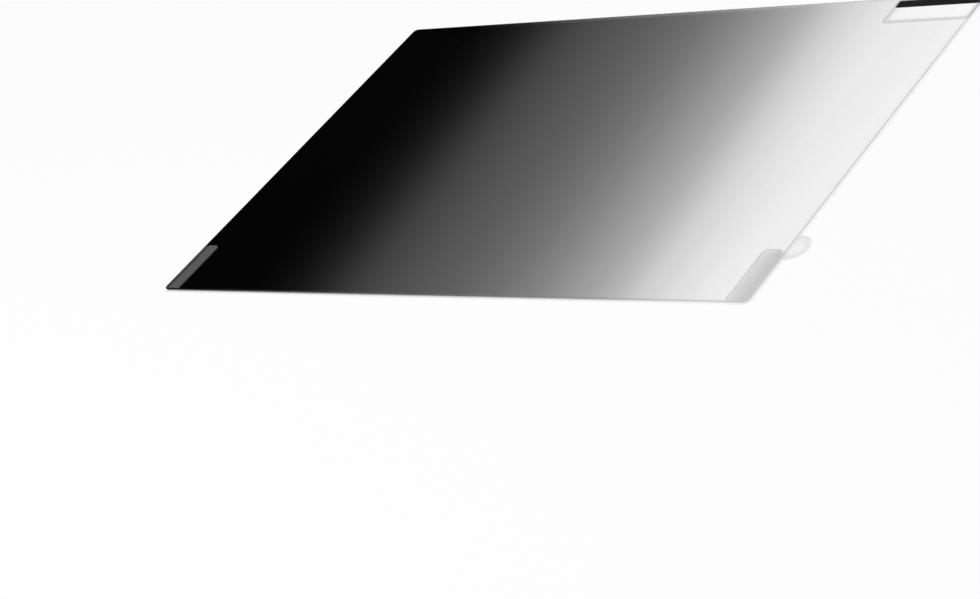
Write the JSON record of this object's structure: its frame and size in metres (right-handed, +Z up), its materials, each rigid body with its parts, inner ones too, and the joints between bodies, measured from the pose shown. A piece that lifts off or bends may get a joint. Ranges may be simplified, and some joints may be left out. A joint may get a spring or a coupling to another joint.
{
  "type": "laptop privacy filter",
  "caption": "Thin wide sheet of louvre film that covers a notebook screen, dark at one end and clear at the other, with flip tabs and soft strips at its corners and a pull tab at one side.",
  "frame": {"origin": "under the middle of the whole outline, pull tab included, on the surface that it lies on", "axes": "+X along the wide side, to the right as the front face is read, +Y towards the edge with the flip tabs, +Z up, out of the front face"},
  "size_m": [0.312, 0.19, 0.0018],
  "materials": {
    "louvre_film": "smooth film with fine upright louvres inside, black at the left end and fading to clear at the right",
    "clear_film": "glossy clear polyester film",
    "black_adhesive": "matte black foam adhesive",
    "grey_strip": "translucent grey soft plastic, satin",
    "frosted_film": "frosted translucent film, clear where it is bonded"
  },
  "bodies": {
    "root": {"filter_sheet": "louvre_film", "flip_tab_left": "clear_film", "flip_tab_right": "clear_film", "lid_pad_left": "black_adhesive", "lid_pad_right": "black_adhesive", "corner_strip_left": "grey_strip", "corner_strip_right": "grey_strip", "pull_tab": "frosted_film"}
  },
  "joints": []
}
